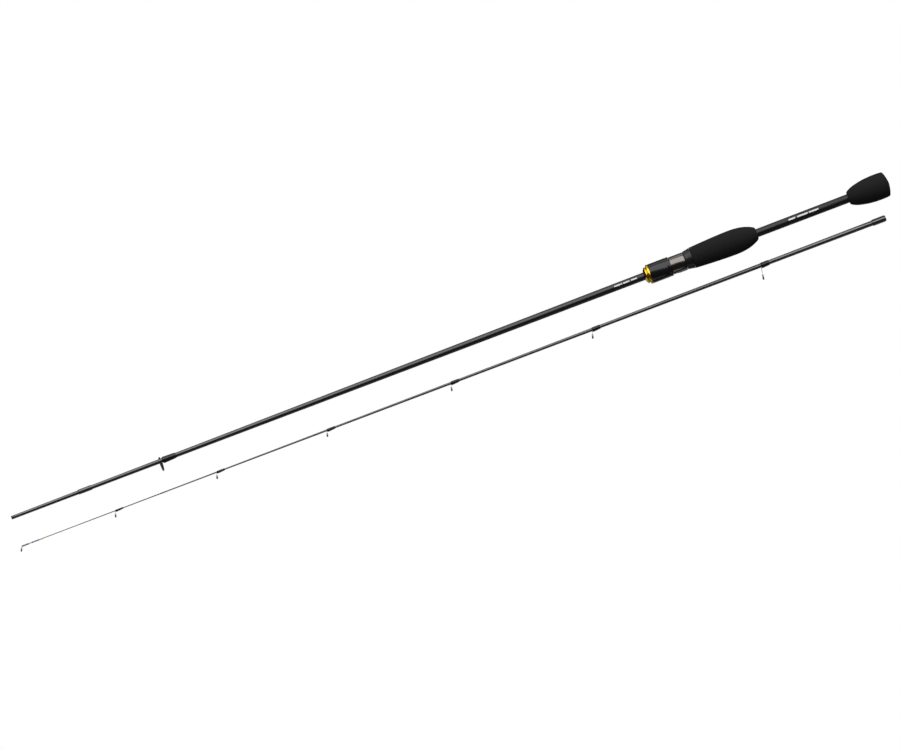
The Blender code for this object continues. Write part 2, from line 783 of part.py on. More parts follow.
def main():
    clear_scene()
    mats = make_materials()

    butt = add_section("butt_section")
    add_butt_blank(mats, butt)
    add_band("butt_ferrule_wrap", MALE_DEPTH, 95.0, BUTT_TAPER, 0.5, mats["thread"], butt)
    add_guide("stripper", STRIPPER, BUTT_TAPER, 15.0, 24, mats, butt)
    add_seat_body(mats, butt)
    add_arbors(mats, butt)
    add_fixed_hood(mats, butt)
    add_palm_grip(mats, butt)
    add_knob(mats, butt)
    add_moving_hood(mats, butt)
    add_locking_nut(mats, butt)
    add_trim_ring(mats, butt)

    tip = add_section("tip_section")
    add_tip_blank(mats, tip)
    add_solid_tip(mats, tip)
    add_band("tip_ferrule_wrap", TIP_LENGTH - 16.0, TIP_LENGTH - 1.0, TIP_TAPER, 0.62,
             mats["thread"], tip)
    for number, spec in enumerate(TIP_GUIDES, 1):
        add_guide(f"guide_{number}", spec, TIP_TAPER, 8.2, 16, mats, tip)
    add_tip_top(mats, tip)
    bands = (
        ("tip_band_dark", 14.0, 16.0, "band_dark"),
        ("tip_band_blue", 17.0, 23.0, "band_blue"),
        ("tip_band_yellow", 24.0, 27.4, "band_yellow"),
    )
    for name, x0, x1, color in bands:
        add_band(name, x0, x1, TIP_TAPER, 0.35, mats[color], tip, sides=12)
    lay_sections(butt, tip)


main()
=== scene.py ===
"""Looks of the two-piece spinning rod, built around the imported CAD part.

Every detailed piece is modelled in its section's own coordinates, in millimetres:
X runs along the blank from the tip side (x = 0) to the butt, and the line guides
point to -Z. Where each section lies is worked out from the CAD nodes.
"""
import math
from types import SimpleNamespace

import bmesh
import bpy
from mathutils import Matrix, Vector


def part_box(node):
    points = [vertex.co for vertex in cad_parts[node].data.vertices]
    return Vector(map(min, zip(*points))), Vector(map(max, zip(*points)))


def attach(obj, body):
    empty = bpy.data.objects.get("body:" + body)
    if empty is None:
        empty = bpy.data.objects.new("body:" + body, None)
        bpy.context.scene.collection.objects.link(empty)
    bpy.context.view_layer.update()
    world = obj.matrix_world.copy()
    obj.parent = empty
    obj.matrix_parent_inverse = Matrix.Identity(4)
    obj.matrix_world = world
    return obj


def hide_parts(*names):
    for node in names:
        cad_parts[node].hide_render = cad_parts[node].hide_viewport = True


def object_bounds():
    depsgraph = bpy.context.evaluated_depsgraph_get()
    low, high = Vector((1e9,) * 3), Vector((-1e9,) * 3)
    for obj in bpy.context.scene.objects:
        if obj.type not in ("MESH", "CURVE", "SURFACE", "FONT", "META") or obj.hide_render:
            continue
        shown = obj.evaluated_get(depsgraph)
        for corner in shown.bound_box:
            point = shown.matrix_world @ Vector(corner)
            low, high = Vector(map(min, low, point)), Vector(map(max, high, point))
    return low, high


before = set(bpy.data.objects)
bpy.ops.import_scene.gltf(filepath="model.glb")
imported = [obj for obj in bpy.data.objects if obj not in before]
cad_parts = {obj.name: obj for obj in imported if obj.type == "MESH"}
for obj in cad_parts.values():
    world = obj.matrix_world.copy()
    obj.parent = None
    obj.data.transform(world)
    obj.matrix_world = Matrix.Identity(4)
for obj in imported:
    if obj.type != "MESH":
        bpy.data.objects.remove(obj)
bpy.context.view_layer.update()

MM = 0.001
SHARP_ANGLE = 35.0

BUTT_LENGTH = 1038.0
TIP_LENGTH = 1024.0
BLANK_END = 10.5
BUTT_TAPER = ((0.0, 2.0), (460.0, 3.55), (700.0, 4.27), (BUTT_LENGTH, 5.05))
TIP_TAPER = ((0.0, 0.42), (150.0, 0.6), (590.0, 1.68), (830.0, 2.35), (TIP_LENGTH, 3.03))
SPLICE_X = 165.0
MALE_DEPTH = 79.0

# Places along the handle, measured forward from the butt end.
KNOB_FRONT = 48.1
GRIP_REAR = 156.3
GRIP_FRONT = 232.5
COLLAR_FRONT = 241.2
HOOD_REAR = 241.5
HOOD_FRONT = 258.0
NUT_REAR = 258.3
NUT_FRONT = 282.2
BARREL_FRONT = 279.5
TRIM_FRONT = 289.4
FIXED_HOOD_MOUTH = 201.4
FIXED_HOOD_REAR = 189.5

PLATFORM_DEPTH = 6.6
FIXED_HOOD_RADIUS = 12.35
HOOD_RADIUS = 9.95
HOOD_BULGE = 2.1
NUT_RADIUS = 10.95
SEAT_BORE = 5.4
PITCH = 2.8
THREAD_CREST = 7.6
THREAD_ROOT = 6.9

# Room for the bond between blank and fitting, and a binding's clearance over the blank.
BOND_GAP = 0.1
BINDING_GAP = 0.03

# Line guides as (ring x, ring centre height, collar radius, lean in degrees).
TIP_GUIDES = (
    (111.0, 5.1, 2.1, 16.0),
    (231.0, 5.3, 2.1, 16.0),
    (361.5, 5.1, 2.1, 16.0),
    (508.0, 6.4, 2.4, 12.0),
    (674.5, 7.4, 2.6, 16.0),
    (874.0, 13.1, 2.95, 10.0),
)
STRIPPER = (176.0, 19.0, 8.0, 6.0)

# What the guides of one kind share: plate and collar, legs and window, foot, ring, binding.
LARGE_GUIDE = SimpleNamespace(
    sheet=0.7, depth=1.6, band=1.0, half_root=1.4, strut=1.3, window_start=1.6,
    foot_width=1.5, foot_root=1.2, foot_end=0.5, foot_length=15.0, edge=0.09,
    ring_wall=1.15, ring_overhang=0.2, cover=0.42,
)
SMALL_GUIDE = SimpleNamespace(
    sheet=0.55, depth=1.5, band=0.42, half_root=0.75, strut=0.55, window_start=0.5,
    foot_width=0.8, foot_root=0.7, foot_end=0.25, foot_length=8.2, edge=0.05,
    ring_wall=0.5, ring_overhang=0.15, cover=0.32,
)

# White dashes painted on the butt blank, as (middle x, half length).
DASHES = ((718.0, 4.6), (727.6, 3.6), (736.6, 3.6), (923.6, 4.0), (936.0, 6.2), (949.2, 5.8))
DASH_WIDTH = 1.5
# They face up from the rod as it lies: in turns from the section's top.
MARK_TURN = 0.009


# Where the sections lie

def centre_of(points):
    return sum(points, Vector()) / len(points)


def section_matrix(blank, first_x, ring):
    """From a section's millimetres to the row frame, read off its blank and one of its rings."""
    points = [v.co.copy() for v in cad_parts[blank].data.vertices]
    low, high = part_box(blank)
    reach = 0.002
    tip_end = centre_of([p for p in points if p.x < low.x + reach])
    butt_end = centre_of([p for p in points if p.x > high.x - reach])
    x_axis = (butt_end - tip_end).normalized()
    ring_low, ring_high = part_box(ring)
    towards = (ring_low + ring_high) / 2 - tip_end
    down = (towards - x_axis * towards.dot(x_axis)).normalized()
    z_axis = -down
    y_axis = z_axis.cross(x_axis)
    start = tip_end - x_axis * first_x * MM
    turn = Matrix((x_axis, y_axis, z_axis)).transposed().to_4x4()
    return Matrix.Translation(start) @ turn


BUTT = section_matrix("butt_blank", 0.0, "stripper_ring")
TIP = section_matrix("tip_blank", SPLICE_X + 0.3, "guide_6_ring")


# Mesh building, all in section millimetres

def along(taper, x):
    """Radius at x on a taper given as (x, radius) points."""
    for (x0, r0), (x1, r1) in zip(taper, taper[1:]):
        if x <= x1:
            return r0 + (r1 - r0) * (x - x0) / (x1 - x0)
    return taper[-1][1]


def rounded(points, steps):
    """Catmull-Rom curve through (x, radius) points."""
    last = len(points) - 1
    out = []
    for k in range(last):
        p = [Vector(points[min(max(k + j, 0), last)]) for j in (-1, 0, 1, 2)]
        for step in range(steps):
            t = step / steps
            q = (
                2 * p[1]
                + (p[2] - p[0]) * t
                + (2 * p[0] - 5 * p[1] + 4 * p[2] - p[3]) * t * t
                + (3 * p[1] - p[0] - 3 * p[2] + p[3]) * t ** 3
            ) / 2
            out.append(tuple(q))
    out.append(tuple(points[-1]))
    return out


def circle(x, radius, sides, drop=0.0):
    """Loop round the X axis, its centre lowered by drop."""
    turns = [2 * math.pi * k / sides for k in range(sides)]
    return [(x, radius * math.sin(a), radius * math.cos(a) - drop) for a in turns]


def skin(loops, closed):
    """Mesh through loops of equal length, closed into a ring or capped at both ends."""
    bm = bmesh.new()
    rows = [[bm.verts.new(Vector(p)) for p in loop] for loop in loops]
    pairs = list(zip(rows, rows[1:]))
    if closed:
        pairs.append((rows[-1], rows[0]))
    else:
        bm.faces.new(rows[0])
        bm.faces.new(rows[-1])
    for first, second in pairs:
        count = len(first)
        for k in range(count):
            n = (k + 1) % count
            bm.faces.new((first[k], first[n], second[n], second[k]))
    bmesh.ops.recalc_face_normals(bm, faces=bm.faces)
    return bm


def turned(profile, sides, closed=True):
    """Body of revolution round the X axis from an (x, radius) profile."""
    return skin([circle(x, radius, sides) for x, radius in profile], closed)


def from_butt(points):
    """Profile given forward from the butt end, turned into section x."""
    return [(BUTT_LENGTH - back, radius) for back, radius in points]


def plate(outline, holes, thickness):
    """Flat plate in the YZ plane with holes, its thickness along X."""
    flat = bmesh.new()
    rings = []
    for ring in (outline, *holes):
        verts = [flat.verts.new((0.0, y, z)) for y, z in ring]
        rings.append(verts)
        for a, b in zip(verts, verts[1:] + verts[:1]):
            flat.edges.new((a, b))
    bmesh.ops.triangle_fill(flat, use_beauty=True, use_dissolve=False, edges=flat.edges[:])
    flat.verts.index_update()
    triangles = [[v.index for v in face.verts] for face in flat.faces]
    loops = [[v.index for v in ring] for ring in rings]
    points = [v.co.copy() for v in flat.verts]
    flat.free()

    bm = bmesh.new()
    half = Vector((thickness / 2, 0.0, 0.0))
    front = [bm.verts.new(p - half) for p in points]
    back = [bm.verts.new(p + half) for p in points]
    for tri in triangles:
        bm.faces.new([front[i] for i in tri])
        bm.faces.new([back[i] for i in reversed(tri)])
    for loop in loops:
        for a, b in zip(loop, loop[1:] + loop[:1]):
            bm.faces.new((front[a], front[b], back[b], back[a]))
    bmesh.ops.recalc_face_normals(bm, faces=bm.faces)
    return bm


def block(low, high):
    """Box between two opposite corners."""
    outline = ((low[0], low[2]), (high[0], low[2]), (high[0], high[2]), (low[0], high[2]))
    return skin([[(x, y, z) for x, z in outline] for y in (low[1], high[1])], False)


def arched_block(x0, x1, radius, depth):
    """Body flat at -depth and arched below it, round the X axis."""
    steps = 40
    side = math.acos(depth / radius)
    turns = [side - 2 * side * k / steps for k in range(steps + 1)]
    section = [(radius * math.sin(a), -radius * math.cos(a)) for a in turns]
    return skin([[(x, y, z) for y, z in section] for x in (x0, x1)], False)


def make_object(name, bm, place, sharp=SHARP_ANGLE):
    """Object at the world origin, with its mesh moved from section millimetres into place."""
    bm.transform(place @ Matrix.Scale(MM, 4))
    mesh = bpy.data.meshes.new(name)
    bm.to_mesh(mesh)
    bm.free()
    mesh.shade_smooth()
    mesh.set_sharp_from_angle(angle=math.radians(sharp))
    obj = bpy.data.objects.new(name, mesh)
    bpy.context.scene.collection.objects.link(obj)
    return obj


def combine(obj, bm, operation, place):
    """Boolean of obj with a helper body, applied at once."""
    helper = make_object(obj.name + "_helper", bm, place)
    modifier = obj.modifiers.new("combine", "BOOLEAN")
    modifier.operation = operation
    modifier.solver = "EXACT"
    modifier.object = helper
    graph = bpy.context.evaluated_depsgraph_get()
    mesh = bpy.data.meshes.new_from_object(obj.evaluated_get(graph))
    obj.modifiers.clear()
    old = obj.data
    obj.data = mesh
    bpy.data.meshes.remove(old)
    bpy.data.objects.remove(helper, do_unlink=True)


def soften(obj, width):
    """Small round on the edges, as moulding and polishing leave them."""
    modifier = obj.modifiers.new("soften", "BEVEL")
    modifier.width = width * MM
    modifier.segments = 2
    modifier.limit_method = "ANGLE"
    modifier.angle_limit = math.radians(SHARP_ANGLE)
    modifier.harden_normals = True


def add_piece(obj, body, material, node):
    """Put a finished piece on its body in place of its CAD node."""
    obj.data.materials.clear()
    obj.data.materials.append(material)
    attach(obj, body)
    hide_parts(node)
    return obj


# Materials

class Shader:
    """Short-hand for building one Principled material out of nodes."""

    def __init__(self, name, color, roughness, metallic=0.0, coat=0.0, coat_roughness=0.05,
                 specular=0.5):
        self.material = bpy.data.materials.new(name)
        self.material.use_nodes = True
        self.tree = self.material.node_tree
        self.base = self.tree.nodes["Principled BSDF"]
        self.base.inputs["Base Color"].default_value = (*color, 1.0)
        self.base.inputs["Roughness"].default_value = roughness
        self.base.inputs["Metallic"].default_value = metallic
        self.base.inputs["Coat Weight"].default_value = coat
        self.base.inputs["Coat Roughness"].default_value = coat_roughness
        self.base.inputs["Specular IOR Level"].default_value = specular

    def node(self, kind, **settings):
        node = self.tree.nodes.new(kind)
        for key, value in settings.items():
            setattr(node, key, value)
        return node

    def link(self, source, target):
        self.tree.links.new(source, target)

    def math(self, operation, a, b=None, c=None, clamp=False):
        node = self.node("ShaderNodeMath", operation=operation, use_clamp=clamp)
        for socket, value in zip(node.inputs, (a, b, c)):
            if value is None:
                continue
            if isinstance(value, (int, float)):
                socket.default_value = value
            else:
                self.link(value, socket)
        return node.outputs[0]

    def section(self, place):
        """Coordinates of a section in metres, x along it, whatever way it lies."""
        coordinates = self.node("ShaderNodeTexCoord")
        mapping = self.node("ShaderNodeMapping", vector_type="TEXTURE")
        mapping.inputs["Location"].default_value = place.to_translation()
        mapping.inputs["Rotation"].default_value = place.to_euler()
        self.link(coordinates.outputs["Object"], mapping.inputs["Vector"])
        return mapping.outputs[0]

    def split(self, vector):
        """The vector's three components."""
        node = self.node("ShaderNodeSeparateXYZ")
        self.link(vector, node.inputs[0])
        return node.outputs

    def around(self, vector):
        """Angle round the section's axis, 0 at the top, in turns."""
        _x, y, z = self.split(vector)
        return self.math("DIVIDE", self.math("ARCTAN2", y, z), 2 * math.pi)

    def noise(self, vector, scale, detail=3.0, roughness=0.55, stretch=None):
        """Noise from 0 to 1, its grain shortened by the stretch factors along each axis."""
        if stretch is not None:
            mapping = self.node("ShaderNodeMapping")
            mapping.inputs["Scale"].default_value = stretch
            self.link(vector, mapping.inputs["Vector"])
            vector = mapping.outputs[0]
        node = self.node("ShaderNodeTexNoise")
        node.inputs["Scale"].default_value = scale
        node.inputs["Detail"].default_value = detail
        node.inputs["Roughness"].default_value = roughness
        self.link(vector, node.inputs["Vector"])
        return node.outputs[0]

    def ramp(self, value, stops):
        """Colour ramp through (position, colour) stops."""
        node = self.node("ShaderNodeValToRGB")
        node.color_ramp.elements[0].position = stops[0][0]
        node.color_ramp.elements[0].color = (*stops[0][1], 1.0)
        node.color_ramp.elements[1].position = stops[-1][0]
        node.color_ramp.elements[1].color = (*stops[-1][1], 1.0)
        for position, color in stops[1:-1]:
            node.color_ramp.elements.new(position).color = (*color, 1.0)
        self.link(value, node.inputs[0])
        return node.outputs[0]

    def mix(self, factor, a, b):
        """Blend from colour a to colour b, each a constant or a socket."""
        node = self.node("ShaderNodeMix", data_type="RGBA")
        self.link(factor, node.inputs[0])
        for socket, value in ((node.inputs[6], a), (node.inputs[7], b)):
            if isinstance(value, tuple):
                socket.default_value = (*value, 1.0)
            else:
                self.link(value, socket)
        return node.outputs[2]

    def span(self, value, low, high):
        """A value from 0 to 1 brought to low to high."""
        node = self.node("ShaderNodeMapRange")
        node.inputs["To Min"].default_value = low
        node.inputs["To Max"].default_value = high
        self.link(value, node.inputs[0])
        return node.outputs[0]

    def bump(self, height, distance, strength):
        """Bump of a height from 0 to 1, distance in millimetres."""
        node = self.node("ShaderNodeBump")
        node.inputs["Strength"].default_value = strength
        node.inputs["Distance"].default_value = distance * MM
        previous = self.base.inputs["Normal"]
        if previous.links:
            self.link(previous.links[0].from_socket, node.inputs["Normal"])
        self.link(height, node.inputs["Height"])
        self.link(node.outputs[0], self.base.inputs["Normal"])

    def drive(self, socket, value):
        """Feed one of the Principled shader's inputs."""
        self.link(value, self.base.inputs[socket])


def wave(shader, phase):
    """Sine of a phase in turns, brought to 0 to 1."""
    sine = shader.math("SINE", shader.math("MULTIPLY", phase, 2 * math.pi))
    return shader.math("MULTIPLY_ADD", sine, 0.5, 0.5)


def carbon_material(name, place, gloss, tape_depth, coat_roughness, marks=()):
    """Unsanded carbon blank: helical tape lines under a clear coat, and painted dashes.

    gloss is the coat's weight at the section's tip side and at its butt side.
    """
    s = Shader(name, (0.012, 0.012, 0.013), 0.36, specular=0.3,
               coat_roughness=coat_roughness)
    s.base.inputs["Coat IOR"].default_value = 2.1
    where = s.section(place)
    x, _y, _z = s.split(where)
    turn = s.around(where)
    tape = wave(s, s.math("ADD", s.math("DIVIDE", x, 1.9 * MM), turn))
    slow = s.noise(where, 90.0, stretch=(0.35, 1.0, 1.0))
    fine = s.noise(where, 1500.0, stretch=(0.12, 1.0, 1.0))
    weave = s.math("MULTIPLY", tape, s.span(slow, 0.4, 1.0))
    color = s.mix(weave, (0.005, 0.005, 0.006), (0.019, 0.019, 0.020))
    if marks:
        dashes = None
        for middle, half in marks:
            one = s.math("COMPARE", x, middle * MM, half * MM)
            dashes = one if dashes is None else s.math("MAXIMUM", dashes, one)
        radius = along(BUTT_TAPER, marks[0][0])
        half_turn = DASH_WIDTH / 2 / (2 * math.pi * radius)
        line = s.math("COMPARE", turn, MARK_TURN, half_turn)
        paint = s.math("MULTIPLY", dashes, line)
        color = s.mix(paint, color, (0.85, 0.85, 0.83))
    s.drive("Base Color", color)
    s.drive("Roughness", s.span(fine, 0.28, 0.44))
    share = s.math("DIVIDE", x, BUTT_LENGTH * MM, clamp=True)
    s.drive("Coat Weight", s.span(s.math("POWER", share, 0.7), *gloss))
    s.bump(tape, tape_depth, 0.8)
    s.bump(fine, 0.004, 0.4)
    return s.material


def thread_material(name, place, color, coat=0.7, coat_ior=1.5):
    """Wound thread under clear epoxy."""
    pitch = 0.16
    s = Shader(name, color, 0.42, coat=coat, coat_roughness=0.1, specular=0.2)
    s.base.inputs["Coat IOR"].default_value = coat_ior
    where = s.section(place)
    x, _y, _z = s.split(where)
    turns = wave(s, s.math("ADD", s.math("DIVIDE", x, pitch * MM), s.around(where)))
    streak = s.noise(where, 700.0)
    dark = tuple(c * 0.55 for c in color)
    light = tuple(min(1.0, c * 1.3 + 0.004) for c in color)
    shade = s.math("MULTIPLY", turns, s.span(streak, 0.5, 1.1), clamp=True)
    s.drive("Base Color", s.mix(shade, dark, light))
    s.bump(turns, 0.02, 0.4)
    s.bump(s.noise(where, 160.0, 1.0), 0.05, 0.35)
    return s.material


def eva_material(name, place):
    """Closed-cell foam, ground to shape: fine grain, slightly lighter cells."""
    s = Shader(name, (0.012, 0.012, 0.013), 0.88, specular=0.2)
    where = s.section(place)
    grain = s.noise(where, 2600.0, 4.0, 0.7)
    cells = s.node("ShaderNodeTexVoronoi")
    cells.inputs["Scale"].default_value = 1900.0
    s.link(where, cells.inputs["Vector"])
    patches = s.noise(where, 120.0, 2.0)
    speck = s.ramp(grain, ((0.32, (0.005, 0.005, 0.006)), (0.55, (0.011, 0.011, 0.012)),
                           (0.72, (0.021, 0.021, 0.023))))
    s.drive("Base Color", s.mix(s.span(patches, 0.0, 0.35), speck, (0.015, 0.015, 0.016)))
    s.drive("Roughness", s.span(grain, 0.78, 0.97))
    s.bump(cells.outputs["Distance"], 0.10, 0.6)
    s.bump(grain, 0.08, 0.6)
    return s.material


def moulded_material(name, place, color, low, high, grain):
    """Satin moulded nylon; low and high bound its roughness, grain is its depth."""
    s = Shader(name, color, 0.4, specular=0.5)
    where = s.section(place)
    texture = s.noise(where, 2600.0, 3.0)
    patches = s.noise(where, 80.0, 2.0)
    lighter = tuple(c * 1.35 + 0.002 for c in color)
    s.drive("Base Color", s.mix(s.span(patches, 0.0, 0.6), color, lighter))
    s.drive("Roughness", s.span(texture, low, high))
    s.bump(texture, grain, 0.6)
    return s.material


def metal_material(name, place, color, low, high, depth=0.002):
    """Metal with lathe or brushing lines round the section's axis, roughness low to high."""
    s = Shader(name, color, 0.3, metallic=1.0)
    where = s.section(place)
    brushed = s.noise(where, 260.0, 4.0, 0.65, stretch=(14.0, 1.0, 1.0))
    smudge = s.noise(where, 110.0, 2.0)
    darker = tuple(c * 0.82 for c in color)
    s.drive("Base Color", s.mix(s.span(smudge, 0.0, 1.0), darker, color))
    s.drive("Roughness", s.span(brushed, low, high))
    if depth:
        s.bump(brushed, depth, 0.5)
    return s.material


def ceramic_material(name, place):
    """Polished dark ceramic with a faint mottle."""
    s = Shader(name, (0.03, 0.03, 0.034), 0.1, specular=0.7)
    where = s.section(place)
    mottle = s.noise(where, 900.0, 2.0)
    s.drive("Base Color", s.mix(mottle, (0.022, 0.022, 0.026), (0.045, 0.045, 0.05)))
    s.drive("Roughness", s.span(mottle, 0.06, 0.14))
    return s.material


def cork_material(name, place):
    """Hidden bushes of pressed cork."""
    s = Shader(name, (0.45, 0.36, 0.26), 0.9, specular=0.2)
    where = s.section(place)
    speck = s.noise(where, 900.0, 4.0)
    s.drive("Base Color", s.ramp(speck, ((0.3, (0.20, 0.13, 0.08)), (0.7, (0.55, 0.42, 0.28)))))
    s.bump(speck, 0.1, 0.7)
    return s.material


# Blanks and bindings

def taper_profile(taper, x0, x1):
    """Points of a taper from x0 to x1, about 12 mm apart."""
    count = max(2, round((x1 - x0) / 12.0))
    xs = [x0 + (x1 - x0) * k / count for k in range(count + 1)]
    return [(x, along(taper, x)) for x in xs]


def rounded_tube(outer, wall):
    """Tube profile whose two ends are broken with a small round."""
    lip = 0.25
    (x0, r0), (x1, r1) = outer[0], outer[-1]
    profile = [(x0, r0 - wall + lip), (x0, r0 - lip), (x0 + lip * 0.4, r0 - lip * 0.3)]
    profile += [(x0 + lip, r0)] + outer[1:-1] + [(x1 - lip, r1)]
    profile += [(x1 - lip * 0.4, r1 - lip * 0.3), (x1, r1 - lip), (x1, r1 - wall + lip)]
    inside = [(x, r - wall) for x, r in reversed(outer)]
    inside[0] = (x1 - lip, r1 - wall)
    inside[-1] = (x0 + lip, r0 - wall)
    return profile + inside


def butt_blank_piece():
    outer = taper_profile(BUTT_TAPER, 0.0, BUTT_LENGTH - BLANK_END)
    bm = turned(rounded_tube(outer, 0.85), 48)
    return make_object("butt_blank_tube", bm, BUTT)


def tip_blank_piece():
    """Hollow blank; a sanded cone at the splice, and the ferrule socket in its end."""
    front = SPLICE_X + 0.3
    outer = [(front, 0.72), (front + 1.2, 0.74)] + taper_profile(TIP_TAPER, 180.0, TIP_LENGTH)
    end = [(TIP_LENGTH, 2.93), (TIP_LENGTH, 2.46), (TIP_LENGTH - 0.2, 2.38)]
    socket = TIP_LENGTH - MALE_DEPTH - 3.0
    bore = [(socket, 2.12), (socket - 1.0, 1.95), (830.0, 1.75), (330.0, 0.62), (front, 0.5)]
    outer[-1] = (TIP_LENGTH - 0.1, 3.02)
    bm = turned(outer + end + bore, 48)
    return make_object("tip_blank_tube", bm, TIP)


def solid_tip_piece():
    """Solid tip, stepped down where it enters the tube."""
    profile = [(4.6, 0.36), (4.7, 0.42), (60.0, 0.48), (150.0, 0.60), (SPLICE_X, 0.64),
               (SPLICE_X + 0.05, 0.40), (SPLICE_X + 26.0, 0.38)]
    return make_object("solid_tip_rod", turned(profile, 24, closed=False), TIP)


def binding_profile(taper, x0, x1, height, pitch):
    """Epoxy-coated binding: its coat rises over a shoulder and follows the thread's turns."""
    shoulder = 0.7
    ridge = 0.018
    rim = 0.11
    count = max(12, round((x1 - x0) / pitch * 4))
    outer = []
    for k in range(count + 1):
        x = x0 + (x1 - x0) * k / count
        edge = min(x - x0, x1 - x) / shoulder
        lift = 1.0 if edge >= 1 else math.sqrt(max(0.0, 1 - (1 - edge) ** 2))
        ripple = ridge * math.sin(2 * math.pi * x / pitch) * lift
        outer.append((x, along(taper, x) + rim + (height - rim) * lift + ripple))
    inner = [(x, along(taper, x) + BINDING_GAP) for x in (x1, x0)]
    return outer + inner


def binding_piece(name, taper, x0, x1, height, place, sides=48, pitch=0.34):
    bm = turned(binding_profile(taper, x0, x1, height, pitch), sides)
    return make_object(name, bm, place, sharp=50.0)


# Line guides

def teardrop(half_root, root, centre, radius):
    """Outline of two legs that run from the root to tangents of the ring."""
    steps = 32
    reach = math.hypot(half_root, centre - root)
    start = math.atan2(centre - root, half_root) - math.acos(radius / reach)
    arc = [start + (-math.pi - 2 * start) * k / steps for k in range(steps + 1)]
    points = [(radius * math.cos(a), -centre + radius * math.sin(a)) for a in arc]
    return [(half_root, -root)] + points + [(-half_root, -root)]


def ring_outline(centre, radius, sides):
    """Round outline in the guide's own plane."""
    turns = [2 * math.pi * k / sides for k in range(sides)]
    return [(radius * math.cos(a), -centre + radius * math.sin(a)) for a in turns]


def collar_profile(hole, collar, depth):
    """Drawn collar with both rims rolled over."""
    rim = (collar - hole) * 0.48
    points = []
    for sign in (-1, 1):
        for k in range(7):
            a = math.pi * k / 6
            x = depth / 2 - rim + rim * math.sin(a)
            r = collar - rim - sign * rim * math.cos(a)
            points.append((sign * x, r))
    return points


def ring_profile(reach, middle, half_wall, squareness):
    """Rounded section of a guide's ring; a squareness below 1 flattens its faces."""
    points = []
    for k in range(20):
        a = 2 * math.pi * k / 20
        bulge = math.copysign(abs(math.cos(a)) ** squareness, math.cos(a))
        points.append((reach * math.sin(a), middle + half_wall * bulge))
    return points


def guide_place(ring_x, height, lean):
    """A leaning guide's point on the axis, its ring's distance from there, and both places."""
    axis_x = ring_x + height * math.tan(lean)
    centre = height / math.cos(lean)
    leaning = Matrix.Translation((axis_x, 0.0, 0.0)) @ Matrix.Rotation(lean, 4, "Y")
    onto_ring = leaning @ Matrix.Translation((0.0, 0.0, -centre))
    return axis_x, centre, leaning, onto_ring


def guide_foot(x0, x1, bed, style):
    """Foot on the blank, crowned, thinning and narrowing towards its end."""
    root, end, width = style.foot_root, style.foot_end, style.foot_width
    loops = []
    for x, thick, half in (
        (x0, root, width),
        (x0 + 0.35 * (x1 - x0), root * 0.85, width),
        (x1 - 0.8, end + 0.1, width * 0.85),
        (x1, end, width * 0.4),
    ):
        crown = [math.pi * k / 8 for k in range(9)]
        arch = [(half * math.cos(a), -bed - thick * (0.35 + 0.65 * math.sin(a))) for a in crown]
        base = [(-half, -bed), (half, -bed)]
        loops.append([(x, y, z) for y, z in arch + base])
    return skin(loops, False)


def guide_binding(x0, x1, taper, style):
    """Binding over the foot: full at the frame, thinning towards the foot's end."""
    rows = 44
    sides = 40
    loops = []
    for k in range(rows + 1):
        share = k / rows
        x = x0 + share * (x1 - x0)
        into = min(share / 0.09, 1.0)
        out = min((1 - share) / 0.22, 1.0)
        rise = math.sqrt(max(0.0, 1 - (1 - into) ** 2)) * math.sin(out * math.pi / 2) ** 0.7
        bulge = max(0.0, 1.0 - max(0.0, share - 0.1) * 1.18) * into
        thick = style.foot_root * bulge / 2
        ripple = 0.012 * math.sin(2 * math.pi * k / 4) * rise
        coat = BINDING_GAP + (style.cover - BINDING_GAP) * rise
        radius = along(taper, x) + BOND_GAP + coat + thick + ripple
        loops.append(circle(x, radius, sides, drop=thick))
    for x in (x1, x0):
        loops.append(circle(x, along(taper, x) + BINDING_GAP, sides))
    return skin(loops, True)


def guide_pieces(name, spec, style, taper, place, body, looks):
    """Leaning frame with legs and collar, polished ring, and epoxy-coated binding."""
    ring_x, height, collar, lean_degrees = spec
    lean = math.radians(lean_degrees)
    axis_x, centre, leaning, onto_ring = guide_place(ring_x, height, lean)
    sheet, half_root = style.sheet, style.half_root
    hole = collar - style.band
    foot_x1 = axis_x + style.foot_length
    bed = along(taper, foot_x1 + 2) + BOND_GAP
    root = bed / math.cos(lean) + 0.1
    foot_x0 = axis_x - root * math.sin(lean) - sheet / 2 - 0.1

    outline = teardrop(half_root, root, centre, collar - 0.12)
    top = centre - collar - 0.3
    apex = root + style.foot_root + style.window_start
    leg_share = (top - root) / (centre - root)
    spread = half_root + (collar - half_root) * leg_share - style.strut
    window = ((0.0, -apex), (spread, -top), (-spread, -top))
    frame_mesh = plate(outline, (ring_outline(centre, hole + style.band / 2, 48), window), sheet)
    frame_mesh.transform(leaning)
    frame_piece = make_object(f"{name}_legs", frame_mesh, place)
    collar_mesh = turned(collar_profile(hole, collar, style.depth), 48)
    collar_mesh.transform(onto_ring)
    combine(frame_piece, collar_mesh, "UNION", place)
    combine(frame_piece, guide_foot(foot_x0, foot_x1, bed, style), "UNION", place)
    soften(frame_piece, style.edge)
    add_piece(frame_piece, body, looks["guide_metal"], f"{name}_frame")

    half_wall = style.ring_wall / 2
    reach = style.depth / 2 + style.ring_overhang
    ring_mesh = turned(ring_profile(reach, hole - 0.06 - half_wall, half_wall, 0.75), 56)
    ring_mesh.transform(onto_ring)
    ring = make_object(f"{name}_insert", ring_mesh, place, sharp=60.0)
    add_piece(ring, body, looks["guide_ceramic"], f"{name}_ring")

    binding = guide_binding(foot_x0 + sheet + 0.45, foot_x1 + 1.6, taper, style)
    wrap = make_object(f"{name}_binding", binding, place, sharp=55.0)
    add_piece(wrap, body, looks["thread"], f"{name}_wrap")


